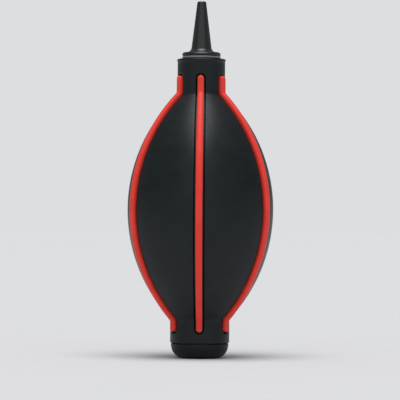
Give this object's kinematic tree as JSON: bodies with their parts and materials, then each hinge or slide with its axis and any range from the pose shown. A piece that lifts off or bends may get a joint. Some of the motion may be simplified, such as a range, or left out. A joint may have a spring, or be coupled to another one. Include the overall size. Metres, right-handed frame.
{
  "type": "dust blower bulb",
  "caption": "Hand-squeezed dust blower: ribbed silicone bulb with a push-in tapered nozzle, two one-way valves and a filtered intake cap it stands on.",
  "frame": {"origin": "centre of the intake cap's flat underside, which the blower stands on", "axes": "+Z along the blower's axis towards the nozzle; -Y faces the first rib"},
  "size_m": [0.0674, 0.0728, 0.165],
  "materials": {
    "bulb_silicone": "matte moulded silicone, black",
    "rib_silicone": "matte moulded silicone, red",
    "valve_silicone": "thin translucent silicone",
    "seal_rubber": "smooth black rubber",
    "nozzle_plastic": "satin moulded plastic, charcoal",
    "cap_plastic": "satin moulded plastic, black",
    "insert_plastic": "plain moulded plastic, dark grey",
    "filter_foam": "fine open foam, grey"
  },
  "bodies": {
    "cap": {"bottom_cap": "cap_plastic"},
    "bulb": {"bulb": "bulb_silicone", "rib_1": "rib_silicone", "rib_2": "rib_silicone", "rib_3": "rib_silicone", "rib_4": "rib_silicone", "rib_5": "rib_silicone", "rib_6": "rib_silicone", "base_insert": "insert_plastic", "filter_grille": "insert_plastic", "intake_filter": "filter_foam", "inlet_valve_cage": "insert_plastic"},
    "inlet_valve": {"inlet_valve_disc": "valve_silicone"},
    "neck": {"neck_insert": "insert_plastic", "outlet_valve_cage": "insert_plastic"},
    "outlet_valve": {"outlet_valve_disc": "valve_silicone"},
    "nozzle": {"nozzle": "nozzle_plastic", "nozzle_seal_ring": "seal_rubber"}
  },
  "joints": [
    {"name": "cap_pull_off", "type": "slide", "parent": "cap", "child": "bulb", "axis": [0, 0, 1], "range_m": [0, 0.012]},
    {"name": "bulb_squeeze", "type": "slide", "parent": "bulb", "child": "neck", "axis": [0, 0, 1], "range_m": [0, 0.003], "stiffness_N_per_m": 2000, "deforming": ["bulb", "rib_1", "rib_2", "rib_3", "rib_4", "rib_5", "rib_6"]},
    {"name": "inlet_valve_lift", "type": "slide", "parent": "bulb", "child": "inlet_valve", "axis": [0, 0, 1], "range_m": [0, 0.0012]},
    {"name": "outlet_valve_lift", "type": "slide", "parent": "neck", "child": "outlet_valve", "axis": [0, 0, 1], "range_m": [0, 0.0012]},
    {"name": "nozzle_pull_out", "type": "slide", "parent": "neck", "child": "nozzle", "axis": [0, 0, 1], "range_m": [0, 0.018]}
  ]
}
